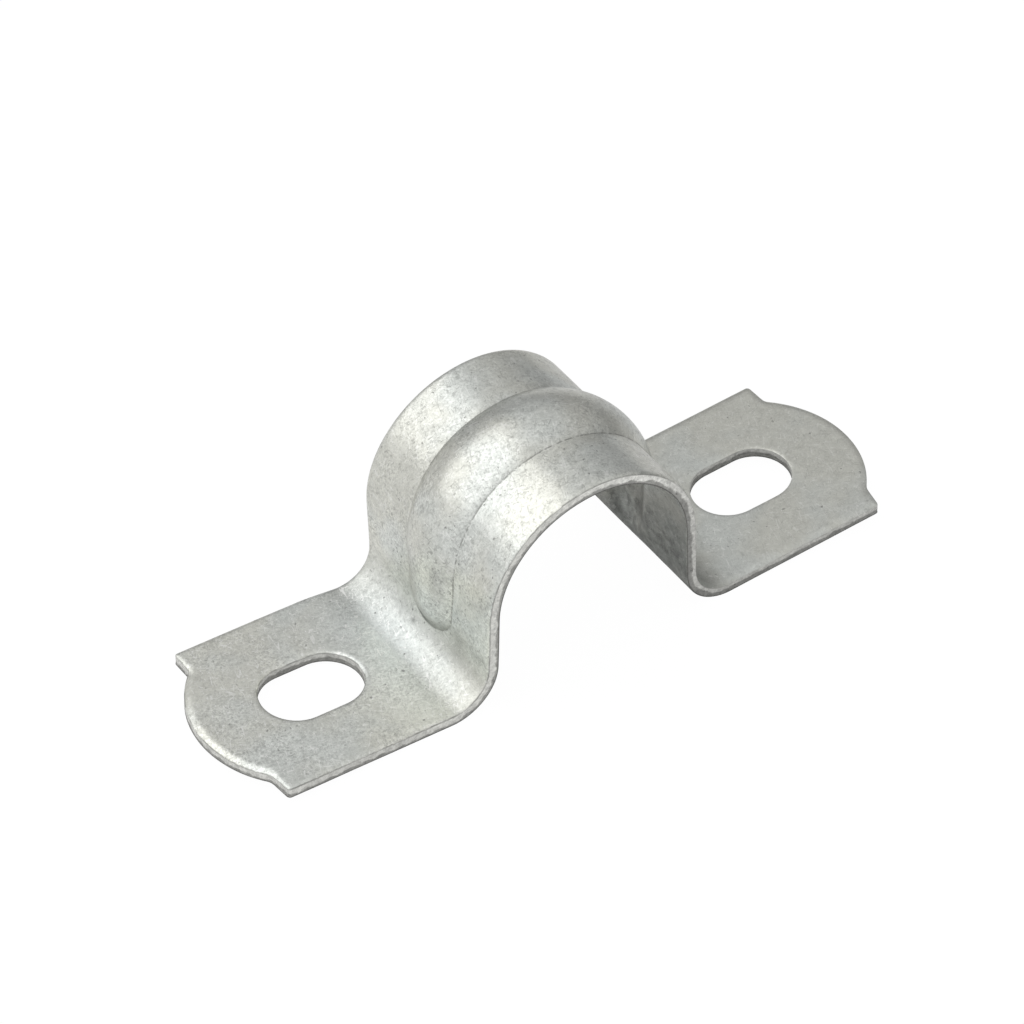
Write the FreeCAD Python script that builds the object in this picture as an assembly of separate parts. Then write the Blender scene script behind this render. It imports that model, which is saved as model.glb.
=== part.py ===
import FreeCAD, Part
import math
import os

# Two-hole conduit strap: one strip of galvanised steel, blanked, embossed and bent.
# X runs along the strap through both slots, Y runs along the conduit, and Z points away from
# the wall. The origin lies midway between the slots in the mounting plane, which the strap
# touches with the undersides of its two lower bends. Lengths are in millimetres, angles in degrees.

# Strip
sheet = 1.1                  # thickness of the steel
strap_width = 19.05          # width of the strip, measured along the conduit

# Saddle over the conduit
saddle_radius = 9.55         # inside face of the arch
saddle_height = 19.05        # mounting plane to the inside of the crown
leg_splay = 1.8              # lean of each leg out towards its ear
bend_radius = 3.5            # upper face of the bend between a leg and its ear
ear_rise = 2.7               # slope of each ear, whose tip stands off the wall until it is screwed down

# Blanked ends
overall_length = 67.2        # over both noses
corner_length = 60.4         # between the corners at the two ends
shoulder_width = 2.4         # shoulder between a corner and the nose
shoulder_lead = 0.45         # how far a shoulder leads outwards from its corner to the nose
corner_round = 0.4           # outer corners
shoulder_fillet = 1.0        # inside corners where the shoulders meet the nose

# Screw slots
slot_spacing = 45.0          # between the middles of the two slots
slot_length = 9.6            # end to end
slot_width = 6.6

# Bevel along the upper rims, where the blanking punch draws the steel down
rim_bevel = 0.2

# Stiffening bead, pressed outwards over the arch and run out on both legs
bead_width = 8.2             # foot to foot over the arch
bead_height = 1.1            # above the outer face of the arch
bead_end_width = 6.8         # foot to foot where the rounded end begins
bead_end_height = 0.95       # above the leg where the rounded end begins
bead_end_level = 6.3         # middle of the rounded end above the mounting plane
bead_foot_radius = 0.8       # outer fillet along the foot
bead_stations = 5            # cross-sections that shape the taper on a leg

# Points closer than this are the same point
match = 1e-6

# Directions
along = FreeCAD.Vector(1, 0, 0)
across = FreeCAD.Vector(0, 1, 0)
up = FreeCAD.Vector(0, 0, 1)
splay = math.radians(leg_splay)
rise = math.radians(ear_rise)
leg_down = FreeCAD.Vector(math.sin(splay), 0, -math.cos(splay))
leg_out = FreeCAD.Vector(math.cos(splay), 0, math.sin(splay))
ear_out = FreeCAD.Vector(math.cos(rise), 0, math.sin(rise))
ear_up = FreeCAD.Vector(-math.sin(rise), 0, math.cos(rise))

# Centres of the right half, from the crown down to the ear
arch_centre = up * (saddle_height - saddle_radius)
bend_drop = bend_radius + sheet
leg_run = arch_centre.z + (saddle_radius + bend_drop) * leg_out.z - bend_drop
leg_length = leg_run / -leg_down.z
bend_centre = arch_centre + leg_out * (saddle_radius + bend_drop) + leg_down * leg_length


def line(start, end):
    return Part.LineSegment(start, end).toShape()


def arc(start, middle, end):
    return Part.Arc(start, middle, end).toShape()


def mirrored(point):
    """The same point on the left half."""
    return FreeCAD.Vector(-point.x, point.y, point.z)


def strip_line(lift):
    """Edges of the bent strip's profile at a height above its underside, left tip to right tip."""
    crown = arch_centre + up * (saddle_radius + lift)
    arch_end = arch_centre + leg_out * (saddle_radius + lift)
    bend_start = arch_end + leg_down * leg_length
    bend_middle = bend_centre - (leg_out + ear_up).normalize() * (bend_drop - lift)
    bend_end = bend_centre - ear_up * (bend_drop - lift)
    tip = bend_end + ear_out * overall_length
    return [
        line(mirrored(tip), mirrored(bend_end)),
        arc(mirrored(bend_end), mirrored(bend_middle), mirrored(bend_start)),
        line(mirrored(bend_start), mirrored(arch_end)),
        arc(mirrored(arch_end), crown, arch_end),
        line(arch_end, bend_start),
        arc(bend_start, bend_middle, bend_end),
        line(bend_end, tip),
    ]


def swept_across(shape):
    """A profile in the XZ plane carried over the full width of the strip."""
    return shape.translated(across * (-strap_width / 2)).extrude(across * strap_width)


def bent_strip():
    """The strip bent to shape, with ears that still run past their outline."""
    under = Part.Wire(strip_line(0))
    upper = Part.Wire(strip_line(sheet))
    ends = [line(under.Vertexes[tip].Point, upper.Vertexes[tip].Point) for tip in (0, -1)]
    profile = Part.Wire(Part.__sortEdges__(under.Edges + upper.Edges + ends))
    return swept_across(Part.Face(profile))


def upright_edges(prism, offset):
    """Upright edges at the prism's end that stand at this distance either side of the XZ plane."""
    return [
        edge
        for edge in prism.Edges
        if edge.tangentAt(edge.FirstParameter).isParallel(up, match)
        and abs(abs(edge.CenterOfMass.y) - offset) < match
        and edge.CenterOfMass.x > 0
    ]


def end_prism():
    """The right end's outline carried square through its ear, and back past the left end."""
    half = strap_width / 2
    corner = along * (corner_length / 2)
    root = corner + along * shoulder_lead
    nose = along * (overall_length / 2)
    back = along * -overall_length
    side, inset = across * half, across * (half - shoulder_width)
    outline = Part.Wire([
        line(back - side, corner - side),
        line(corner - side, root - inset),
        arc(root - inset, nose, root + inset),
        line(root + inset, corner + side),
        line(corner + side, back + side),
        line(back + side, back - side),
    ])
    prism = Part.Face(outline).extrude(up * overall_length).translated(up * (-overall_length / 2))
    prism = prism.makeFillet(shoulder_fillet, upright_edges(prism, inset.y))
    prism = prism.makeFillet(corner_round, upright_edges(prism, side.y))
    tip = bend_centre - ear_up * bend_drop
    tip += ear_out * ((nose.x - tip.x) / ear_out.x)
    return prism.translated(up * tip.z).rotated(tip, across, -ear_rise)


def slot_prism(side):
    """One screw slot, cut square to the mounting plane."""
    radius = slot_width / 2
    middle = along * (side * slot_spacing / 2)
    reach = along * (slot_length / 2 - radius)
    left, right = middle - reach, middle + reach
    outline = Part.Wire([
        line(left - across * radius, right - across * radius),
        arc(right - across * radius, right + along * radius, right + across * radius),
        line(right + across * radius, left + across * radius),
        arc(left + across * radius, left - along * radius, left - across * radius),
    ])
    return Part.Face(outline).extrude(up * saddle_height)


def upper_rims(strap):
    """Edges along which the cut walls meet the strap's upper face."""
    upper = swept_across(Part.Wire(strip_line(sheet)))
    faces = []
    for face in strap.Faces:
        first_u, last_u, first_v, last_v = face.ParameterRange
        middle = Part.Vertex(face.valueAt((first_u + last_u) / 2, (first_v + last_v) / 2))
        if upper.distToShape(middle)[0] < match:
            faces.append(face)
    return Part.Shell(faces).getFreeEdges().Edges


def bead_half(width, height, depth):
    """Points of half a bead's cross-section as (across, out), from its crown to its foot.

    The dome and the foot fillet are two arcs that meet in a common tangent. depth is measured from
    the outer face, so 0 gives the outer face and sheet the parallel inner face.
    """
    foot = width / 2
    turn = 2 * math.atan2(height, foot)
    dome = foot / math.sin(turn) - bead_foot_radius
    fillet = bead_foot_radius + depth

    def on_dome(angle):
        reach = dome - depth
        return reach * math.sin(angle), height - dome + reach * math.cos(angle)

    def on_fillet(angle):
        return foot - fillet * math.sin(angle), bead_foot_radius - fillet * math.cos(angle)

    return on_dome(0), on_dome(turn / 2), on_dome(turn), on_fillet(turn / 2), on_fillet(0)


def bead_section(base, out, width, height, depth):
    """Closed cross-section of the bead at a point of the sheet's outer face, closed below its feet."""

    def place(point, side=1):
        return base + across * (side * point[0]) + out * point[1]

    crown, dome, knee, fillet, foot = bead_half(width, height, depth)
    floor = (foot[0], foot[1] - sheet / 2)
    return Part.Wire([
        arc(place(foot, -1), place(fillet, -1), place(knee, -1)),
        arc(place(knee, -1), place(crown), place(knee)),
        arc(place(knee), place(fillet), place(foot)),
        line(place(foot), place(floor)),
        line(place(floor), place(floor, -1)),
        line(place(floor, -1), place(foot, -1)),
    ])


def bead_end(base, out, width, height, depth):
    """Rounded end of the bead: half of its cross-section turned about its middle."""

    def place(point):
        return base + across * point[0] + out * point[1]

    crown, dome, knee, fillet, foot = bead_half(width, height, depth)
    floor = (foot[0], foot[1] - sheet / 2)
    middle = (0, floor[1])
    outline = Part.Wire([
        arc(place(crown), place(dome), place(knee)),
        arc(place(knee), place(fillet), place(foot)),
        line(place(foot), place(floor)),
        line(place(floor), place(middle)),
        line(place(middle), place(crown)),
    ])
    return Part.Face(outline).revolve(base, out, -180)


def bead_parts(depth):
    """The bead's body at a depth below its outer face, in pieces that meet face to face."""
    arch_end = arch_centre + leg_out * (saddle_radius + sheet)
    run = (arch_end.z - bead_end_level) / -leg_down.z
    sections = []
    for station in range(bead_stations):
        share = station / (bead_stations - 1)
        blend = (1 - math.cos(math.pi * share)) / 2
        width = bead_width + (bead_end_width - bead_width) * blend
        height = bead_height + (bead_end_height - bead_height) * blend
        sections.append(bead_section(arch_end + leg_down * (run * share), leg_out, width, height, depth))
    over = Part.Face(sections[0]).revolve(arch_centre, across, -180 + 2 * leg_splay)
    leg = Part.makeLoft(sections, True)
    end = bead_end(arch_end + leg_down * run, leg_out, bead_end_width, bead_end_height, depth)
    right = [leg, end]
    return [over] + right + [piece.mirror(FreeCAD.Vector(), along) for piece in right]


def conduit_strap():
    right_end = end_prism()
    left_end = right_end.mirror(FreeCAD.Vector(), along)
    strap = bent_strip().common(right_end).common(left_end)
    strap = strap.cut([slot_prism(-1), slot_prism(1)])
    strap = strap.makeChamfer(rim_bevel, upper_rims(strap))
    strap = strap.fuse(bead_parts(0))
    return strap.cut(bead_parts(sheet)).removeSplitter()


os.makedirs("parts", exist_ok=True)
conduit_strap().exportStep("parts/conduit_strap.step")
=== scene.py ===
import bpy
import math
from types import SimpleNamespace
from mathutils import Matrix, Vector, geometry, kdtree, noise


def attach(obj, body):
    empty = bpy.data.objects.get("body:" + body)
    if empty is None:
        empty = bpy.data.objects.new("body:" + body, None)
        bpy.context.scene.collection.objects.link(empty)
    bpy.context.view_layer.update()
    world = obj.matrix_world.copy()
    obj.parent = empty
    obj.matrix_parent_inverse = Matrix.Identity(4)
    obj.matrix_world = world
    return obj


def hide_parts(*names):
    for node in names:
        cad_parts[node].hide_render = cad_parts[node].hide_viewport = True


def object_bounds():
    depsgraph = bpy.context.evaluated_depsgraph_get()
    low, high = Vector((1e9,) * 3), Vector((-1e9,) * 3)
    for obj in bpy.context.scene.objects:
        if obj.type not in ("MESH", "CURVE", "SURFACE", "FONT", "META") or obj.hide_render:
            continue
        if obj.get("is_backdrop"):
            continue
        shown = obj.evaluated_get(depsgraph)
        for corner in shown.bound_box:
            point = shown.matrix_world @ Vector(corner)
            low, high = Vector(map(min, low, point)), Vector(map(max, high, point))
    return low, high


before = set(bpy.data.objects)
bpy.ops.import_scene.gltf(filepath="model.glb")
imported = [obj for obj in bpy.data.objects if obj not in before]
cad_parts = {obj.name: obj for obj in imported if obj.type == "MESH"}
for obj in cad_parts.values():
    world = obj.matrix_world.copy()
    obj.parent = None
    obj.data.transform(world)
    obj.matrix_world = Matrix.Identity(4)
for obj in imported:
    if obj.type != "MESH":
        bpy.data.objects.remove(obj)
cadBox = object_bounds()
mm = 0.001

# the strap's own sizes, in millimetres and degrees
strap = SimpleNamespace(
    sheet=1.1,
    width=19.05,
    saddleRadius=9.55,       # inside of the arch
    saddleHeight=19.05,      # wall to the inside of the crown
    legSplay=1.8,
    bendRadius=3.5,          # upper face of the bend
    earRise=2.7,
    nose=33.6,               # middle to the tip of either end
    noseRadius=10.08,
    noseShift=-0.35,         # both noses sit a little to the front
    corner={                 # middle to each lug
        ("left", "front"): 30.75, ("left", "back"): 30.32,
        ("right", "front"): 30.55, ("right", "back"): 30.2,
    },
    shoulder=2.4,            # width of the lug beside the nose
    slotAt=22.5,
    slotLength=9.6,
    slotWidth=6.6,
    sideTrim=0.005,          # keeps the two long edges just inside the solid's width
)

# how the flat blank is drawn and meshed
blank = SimpleNamespace(
    traceStep=0.05,          # step along the outline as it is drawn
    denseStep=0.02,          # step while its corners are averaged
    softening=0.75,          # length over which they are averaged
    edgeStep=0.24,           # longest step between the points that stay
    edgeTurn=14,             # degrees the outline may turn between two of them
    arcSteps=300,            # steps round one end of a slot
    rings=(0.05, 0.12, 0.22, 0.36, 0.55, 0.8),
    ringKeep=0.96,           # a ring's point stays if it is this share of its offset from every rim
    grid=0.3,
    gridRow=0.866,           # height of a row beside the grid's pitch
    gridKeep=0.6,            # share of the pitch that a grid point keeps from the other points
    creaseRows=(-0.16, -0.07, 0.0, 0.07, 0.16),
    creaseStep=0.26,
    wallRows=(0.12, 0.36, 0.6, 0.82),
    slotSlack=0.002,         # triangles this far inside a slot's rim are dropped
    punchedReach=0.3,        # walls this near a slot count as punched
    weld=1e-5,
    mapSpan=100.0,           # millimetres across the blank's UV map
)

# what the punch and the fold did to the blank's edges
edge = SimpleNamespace(
    rolls={                  # how far a rim is drawn down, and over what reach
        "plain": (0.12, 0.42), "rightSlot": (0.06, 0.336), "rightEar": (0.18, 0.72), "leftNose": (0.24, 0.62),
    },
    earFade=4.0,             # length past the leg over which the ear's roll sets in
    noseFrom=4.2,            # the nose's roll sets in this far inside the tip
    noseFade=1.2,
    noseHalf=8.2,            # and ends this far from the middle line
    noseHalfFade=1.5,
    rollPower=2,             # how steeply a roll falls to the rim
    nosePower=1.4,
    noseCore=0.8,            # share of the nose's roll past which its own power holds
    lowerRound=0.05,         # rounding of the lower rim, and its reach
    lowerReach=0.1,
    tear=0.035,              # how far the torn part of the wall steps back
    tearFrom=0.3,            # share of the wall's depth where it starts
    tearFade=0.2,
    tearMean=0.6,
    tearSpread=0.8,
    tearScale=(1.7, 3),      # along the wall and down it
    neckAt=-23.0,            # the fold drew the left leg's back edge in here
    neckReach=8.0,
    neckDepth=0.55,
)

# stiffening bead, drawn out over the arch
bead = SimpleNamespace(
    half=3.66,
    rise=1.08,
    endHalf=3.4,
    endRise=0.95,
    endLevel=6.3,            # middle of the rounded end above the wall
    footRadius=0.25,
    drift=-0.7,              # the left end sits a little to the front
    driftFrom=0.35,          # share of the half arch where the drift starts
    crease=0.02,             # depth of the die mark along the foot
    creaseHalf=0.12,
    wave=0.05,               # waviness of the sheet from handling
    waveScale=0.13,
)

# derived from the sizes above
splay = math.radians(strap.legSplay)
rise = math.radians(strap.earRise)
archTurn = math.pi / 2 - splay
bendTurn = archTurn + rise
midRadius = strap.saddleRadius + strap.sheet / 2
bendOuter = strap.bendRadius + strap.sheet
archHeight = strap.saddleHeight - strap.saddleRadius
legRun = archHeight + (strap.saddleRadius + bendOuter) * math.sin(splay) - bendOuter
legLength = legRun / math.cos(splay)
archEnd = midRadius * archTurn
legEnd = archEnd + legLength
bendEnd = legEnd + (strap.bendRadius + strap.sheet / 2) * bendTurn
bendCentreX = (strap.saddleRadius + bendOuter) * math.cos(splay) + legLength * math.sin(splay)
beadEndAt = archEnd + (archHeight + (strap.saddleRadius + strap.sheet) * math.sin(splay)
                       - bead.endLevel) / math.cos(splay)


def blankPlace(x, depth):
    # distance along the blank of a point of the ear, x from the middle and depth below its top
    return bendEnd + (x - bendCentreX - math.sin(rise) * (strap.bendRadius + depth)) / math.cos(rise)


noseAt = blankPlace(strap.nose, strap.sheet)
slotAt = blankPlace(strap.slotAt, strap.sheet / 2)
half = strap.width / 2
print("sheet:", round(2 * noseAt, 2), "mm long when flat")


def clamped(value):
    return max(0.0, min(1.0, value))


def eased(value):
    share = clamped(value)
    return share * share * (3 - 2 * share)


def endLine(side):
    # one end of the blank, from the front edge to the back edge
    points = []
    inset = half - strap.shoulder
    steps = int(strap.width / blank.traceStep)
    for i in range(steps + 1):
        y = -half + strap.width * i / steps
        reached = max(-inset, min(inset, y)) - strap.noseShift
        arcX = math.sqrt(strap.noseRadius ** 2 - reached ** 2) - strap.noseRadius
        x = strap.nose + arcX
        if abs(y) > inset:
            corner = strap.corner[side, "front" if y < 0 else "back"]
            x += (corner - x) * (abs(y) - inset) / strap.shoulder
        points.append((noseAt - (strap.nose - x), y))
    return points


def roughLoop():
    right = endLine("right")
    left = [(-x, y) for x, y in reversed(endLine("left"))]
    loop = []
    for start, end in ((left[-1], right[0]), (right[-1], left[0])):
        steps = int(math.dist(start, end) / blank.traceStep)
        side = [(start[0] + (end[0] - start[0]) * i / steps, start[1]) for i in range(1, steps)]
        loop += side + (right if start is left[-1] else left)
    return loop


def softened(loop, reach):
    # each point becomes the mean of the loop over this length around it
    dense = evenly(loop, blank.denseStep)
    count = len(dense)
    span = int(reach / blank.denseStep / 2)
    sumX = sum(dense[i % count][0] for i in range(-span, span + 1))
    sumY = sum(dense[i % count][1] for i in range(-span, span + 1))
    result = []
    for i in range(count):
        result.append((sumX / (2 * span + 1), sumY / (2 * span + 1)))
        gone, come = dense[(i - span) % count], dense[(i + span + 1) % count]
        sumX += come[0] - gone[0]
        sumY += come[1] - gone[1]
    return result


def evenly(loop, step):
    # the same closed loop, with points a step apart
    lengths = [0.0]
    closed = loop + loop[:1]
    for a, b in zip(closed, closed[1:]):
        lengths.append(lengths[-1] + math.dist(a, b))
    count = round(lengths[-1] / step)
    result = []
    j = 0
    for i in range(count):
        want = lengths[-1] * i / count
        while lengths[j + 1] < want:
            j += 1
        share = (want - lengths[j]) / max(lengths[j + 1] - lengths[j], 1e-9)
        result.append(tuple(closed[j][k] + (closed[j + 1][k] - closed[j][k]) * share for k in (0, 1)))
    return result


def thinned(loop):
    # fewer points on the straights, more where the loop turns
    count = len(loop)
    result = []
    length = turn = math.inf
    for i in range(count):
        before, here, after = loop[i - 1], loop[i], loop[(i + 1) % count]
        length += math.dist(before, here)
        a = math.atan2(here[1] - before[1], here[0] - before[0])
        b = math.atan2(after[1] - here[1], after[0] - here[0])
        turn += abs((b - a + math.pi) % (2 * math.pi) - math.pi)
        if length > blank.edgeStep or turn > math.radians(blank.edgeTurn):
            result.append(here)
            length = turn = 0
    return result


def slotLoop(side):
    radius = strap.slotWidth / 2
    reach = strap.slotLength / 2 - radius
    steps = blank.arcSteps
    loop = []
    for end in (1, -1):
        for i in range(steps):
            angle = math.pi * i / (steps - 1) - math.pi / 2
            x = side * slotAt + end * (reach + radius * math.cos(angle))
            loop.append((x, end * radius * math.sin(angle)))
    return evenly(loop, blank.denseStep)


def inwardNormals(loop, hole):
    count = len(loop)
    result = []
    for i in range(count):
        a, b = loop[i - 1], loop[(i + 1) % count]
        length = math.dist(a, b)
        normal = (-(b[1] - a[1]) / length, (b[0] - a[0]) / length)
        result.append((-normal[0], -normal[1]) if hole else normal)
    return result


def rollAt(point, hole):
    # depth, reach and power of the drawn-down rim beside this point of the outline
    x, y = point
    if hole:
        kind, share = ("rightSlot", 1.0) if x > 0 else ("plain", 0.0)
    elif x > 0:
        kind, share = "rightEar", clamped((x - legEnd) / edge.earFade)
    else:
        endways = clamped((-x - noseAt + edge.noseFrom) / edge.noseFade)
        kind, share = "leftNose", eased(endways * clamped((edge.noseHalf - abs(y)) / edge.noseHalfFade))
    depth, reach = (a + (b - a) * share for a, b in zip(edge.rolls["plain"], edge.rolls[kind]))
    power = edge.nosePower if kind == "leftNose" and share > edge.noseCore else edge.rollPower
    return depth, reach, power


def insideSlot(x, y, grow=0.0):
    reach = (strap.slotLength - strap.slotWidth) / 2
    away = max(abs(abs(x) - slotAt) - reach, 0)
    return math.hypot(away, y) < strap.slotWidth / 2 + grow


def footLine(s):
    # the bead's foot at this place along the blank: its middle and its half width
    taper = eased((abs(s) - archEnd) / (beadEndAt - archEnd))
    driftFrom = archEnd * bead.driftFrom
    drift = bead.drift * eased((-s - driftFrom) / (beadEndAt - driftFrom))
    return drift, bead.half + (bead.endHalf - bead.half) * taper


def creasePoints():
    # rows of points beside the die mark, which runs where the dome meets its foot
    turn = 2 * math.atan2(bead.rise, bead.half)
    setBack = bead.footRadius * math.sin(turn)
    points = []
    for offset in blank.creaseRows:
        for side in (-1, 1):
            s = -beadEndAt
            while s < beadEndAt:
                middle, reach = footLine(s)
                points.append((s, middle + side * (reach - setBack + offset)))
                s += blank.creaseStep
        for end in (-1, 1):
            middle, reach = footLine(end * beadEndAt)
            radius = reach - setBack + offset
            steps = int(math.pi * reach / blank.creaseStep)
            for i in range(steps + 1):
                angle = math.pi * i / steps
                points.append((end * (beadEndAt + radius * math.sin(angle)), middle + radius * math.cos(angle)))
    return points


def neckedIn(s, y):
    # place across the strap after the fold has drawn its back edge in
    share = max(0.0, 1 - ((s - edge.neckAt) / edge.neckReach) ** 2) ** 2
    return y - edge.neckDepth * share * max(0.0, y / half) ** 2


def searchTree(points):
    tree = kdtree.KDTree(len(points))
    for i, point in enumerate(points):
        tree.insert((*point, 0), i)
    tree.balance()
    return tree


def layRims():
    # the outline and both slots as loops, their points with inward normal and roll, and a search over them
    loops = [(thinned(softened(roughLoop(), blank.softening)), False)]
    loops += [(thinned(slotLoop(side)), True) for side in (-1, 1)]
    rim, edges = [], []
    for loop, hole in loops:
        first = len(rim)
        rim += [(point, normal, rollAt(point, hole)) for point, normal in zip(loop, inwardNormals(loop, hole))]
        edges += [(first + i, first + (i + 1) % len(loop)) for i in range(len(loop))]
    tree = searchTree([point for point, _, _ in rim])

    def nearest(x, y):
        # gap square to the nearest rim, plain distance to its nearest point, and the roll there
        _, i, distance = tree.find((x, y, 0))
        point, normal, roll = rim[i]
        return (x - point[0]) * normal[0] + (y - point[1]) * normal[1], distance, roll

    return loops, rim, edges, nearest


def layPoints(rim, nearest):
    # rims first, then rings inside them, rows along the die mark and a grid over the rest
    points = [point for point, _, _ in rim]
    for offset in blank.rings:
        for point, normal, _ in rim:
            x, y = point[0] + normal[0] * offset, point[1] + normal[1] * offset
            if nearest(x, y)[1] > offset * blank.ringKeep:
                points.append((x, y))
    points += creasePoints()
    fixed = searchTree(points)
    rows = int(strap.width / (blank.grid * blank.gridRow)) + 1
    for row in range(rows + 1):
        y = -half + row * blank.grid * blank.gridRow
        x = -noseAt - (row % 2) * blank.grid / 2
        while x < noseAt:
            x += blank.grid
            if nearest(x, y)[0] > blank.rings[-1] and not insideSlot(x, y):
                if fixed.find((x, y, 0))[2] > blank.grid * blank.gridKeep:
                    points.append((x, y))
    print("blank:", len(points), "points,", len(rim), "on the rims")
    return points


def buildBlank():
    loops, rim, edges, nearest = layRims()
    points = [Vector(point) for point in layPoints(rim, nearest)]
    outline = list(range(len(loops[0][0])))
    made, _, triangles, origins, _, _ = geometry.delaunay_2d_cdt(points, edges, [outline], 1, blank.weld)
    flat = [tuple(point) for point in made]
    kept = []
    for triangle in triangles:
        x = sum(flat[i][0] for i in triangle) / 3
        y = sum(flat[i][1] for i in triangle) / 3
        if not insideSlot(x, y, -blank.slotSlack):
            kept.append(list(triangle))
    place = {old: new for new, olds in enumerate(origins) for old in olds}

    upper, lower, gaps = [], [], []
    for x, y in flat:
        gap, _, (depth, reach, power) = nearest(x, y)
        upper.append((x, y, strap.sheet - depth * max(0.0, 1 - gap / reach) ** power))
        lower.append((x, y, edge.lowerRound * max(0.0, 1 - gap / edge.lowerReach) ** 2))
        gaps.append(max(gap, 0))
    count = len(flat)
    verts = upper + lower
    gaps += gaps
    depths = [0.0] * count + [1.0] * count
    faces = [tuple(t) for t in kept] + [tuple(count + i for i in reversed(t)) for t in kept]
    wallFrom = len(faces)
    first = 0
    for loop, hole in loops:
        tops = [place[first + i] for i in range(len(loop))]
        rowsDown = [tops]
        for share in blank.wallRows:
            torn = edge.tear * clamped((share - edge.tearFrom) / edge.tearFade)
            row = []
            for i in range(len(loop)):
                (x, y), normal, _ = rim[first + i]
                top = verts[tops[i]][2]
                endways, down = edge.tearScale
                wobble = noise.noise(Vector((x * endways, y * endways, share * down)))
                back = torn * (edge.tearMean + edge.tearSpread * wobble)
                row.append(len(verts))
                z = top + (edge.lowerRound - top) * share
                verts.append((x + normal[0] * back, y + normal[1] * back, z))
                gaps.append(0.0)
                depths.append(share)
            rowsDown.append(row)
        rowsDown.append([count + i for i in tops])
        for above, below in zip(rowsDown, rowsDown[1:]):
            for i in range(len(loop)):
                j = (i + 1) % len(loop)
                faces.append((above[i], below[i], below[j], above[j]))
        first += len(loop)

    verts = [(x, neckedIn(x, y), z) for x, y, z in verts]
    mesh = bpy.data.meshes.new("strapBlank")
    mesh.from_pydata(verts, [], faces)
    mesh.update()
    uv = mesh.uv_layers.new(name="blankMap")
    for corner in mesh.loops:
        x, y, z = verts[corner.vertex_index]
        v = y - z if corner.vertex_index >= 2 * count else y
        uv.data[corner.index].uv = (x / blank.mapSpan + 0.5, v / blank.mapSpan + 0.5)
    punched = [float(insideSlot(x, y, blank.punchedReach)) for x, y, _ in verts]
    cutWall = [i >= wallFrom for i in range(len(faces))]
    for name, values in (("rimGap", gaps), ("wallDepth", depths), ("punched", punched)):
        mesh.attributes.new(name, "FLOAT", "POINT").data.foreach_set("value", values)
    mesh.attributes.new("cutWall", "BOOLEAN", "FACE").data.foreach_set("value", cutWall)
    return mesh


def plug(tree, socket, value):
    if isinstance(value, bpy.types.NodeSocket):
        tree.links.new(value, socket)
    else:
        socket.default_value = value


def addNode(tree, kind, values=None, **settings):
    node = tree.nodes.new(kind)
    for name, value in settings.items():
        setattr(node, name, value)
    for name, value in (values or {}).items():
        plug(tree, node.inputs[name], value)
    return node


def nodeMath(tree):
    # math nodes of this tree; sums, products and maxima take any number of values
    def do(operation, *values):
        if operation in ("ADD", "MULTIPLY", "MAXIMUM") and len(values) > 2:
            values = (do(operation, *values[:-1]), values[-1])
        return addNode(tree, "ShaderNodeMath", dict(enumerate(values)), operation=operation).outputs[0]
    return do


def vectorMath(tree, operation, first, second):
    return addNode(tree, "ShaderNodeVectorMath", {0: first, 1: second}, operation=operation).outputs[0]


def scaled(tree, vector, amount):
    return addNode(tree, "ShaderNodeVectorMath", {0: vector, "Scale": amount}, operation="SCALE").outputs[0]


def parted(tree, vector):
    return addNode(tree, "ShaderNodeSeparateXYZ", {0: vector}).outputs


def joined(tree, x, y, z=0.0):
    return addNode(tree, "ShaderNodeCombineXYZ", {0: x, 1: y, 2: z}).outputs[0]


def ramp(tree, value, start, end, low=0.0, high=1.0, kind="SMOOTHSTEP"):
    # low at the start and before it, high at the end and past it
    sockets = dict(enumerate((value, start, end, low, high)))
    return addNode(tree, "ShaderNodeMapRange", sockets, interpolation_type=kind).outputs[0]


def between(tree, share, pair):
    # the first value where the share is 0, the second where it is 1
    return nodeMath(tree)("MULTIPLY_ADD", share, pair[1] - pair[0], pair[0])


def newGroup(name, kind, inputs, outputs, outputKind="NodeSocketFloat"):
    # inputs are numbers with their defaults, or sockets of another kind
    tree = bpy.data.node_groups.new(name, kind)
    for label, value in inputs.items():
        number = isinstance(value, (int, float))
        socketKind = "NodeSocketFloat" if number else value
        socket = tree.interface.new_socket(label, in_out="INPUT", socket_type=socketKind)
        if number:
            socket.default_value = value
    for label in outputs:
        tree.interface.new_socket(label, in_out="OUTPUT", socket_type=outputKind)
    return tree, tree.nodes.new("NodeGroupInput").outputs, tree.nodes.new("NodeGroupOutput").inputs


beadInputs = {
    "Half Width": bead.half, "Rise": bead.rise, "End Half Width": bead.endHalf,
    "End Rise": bead.endRise, "Arch End": archEnd, "End At": beadEndAt, "Foot Radius": bead.footRadius,
    "Drift": bead.drift, "Drift From": archEnd * bead.driftFrom, "Crease": bead.crease,
    "Crease Half Width": bead.creaseHalf, "Wave": bead.wave, "Wave Scale": bead.waveScale,
}
foldInputs = {
    "Sheet": strap.sheet, "Saddle Radius": strap.saddleRadius, "Arch Height": archHeight,
    "Arch Turn": archTurn, "Leg Length": legLength, "Bend Radius": strap.bendRadius,
    "Bend Turn": bendTurn, "Ear Rise": rise, "Side Limit": half - strap.sideTrim,
}


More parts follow.
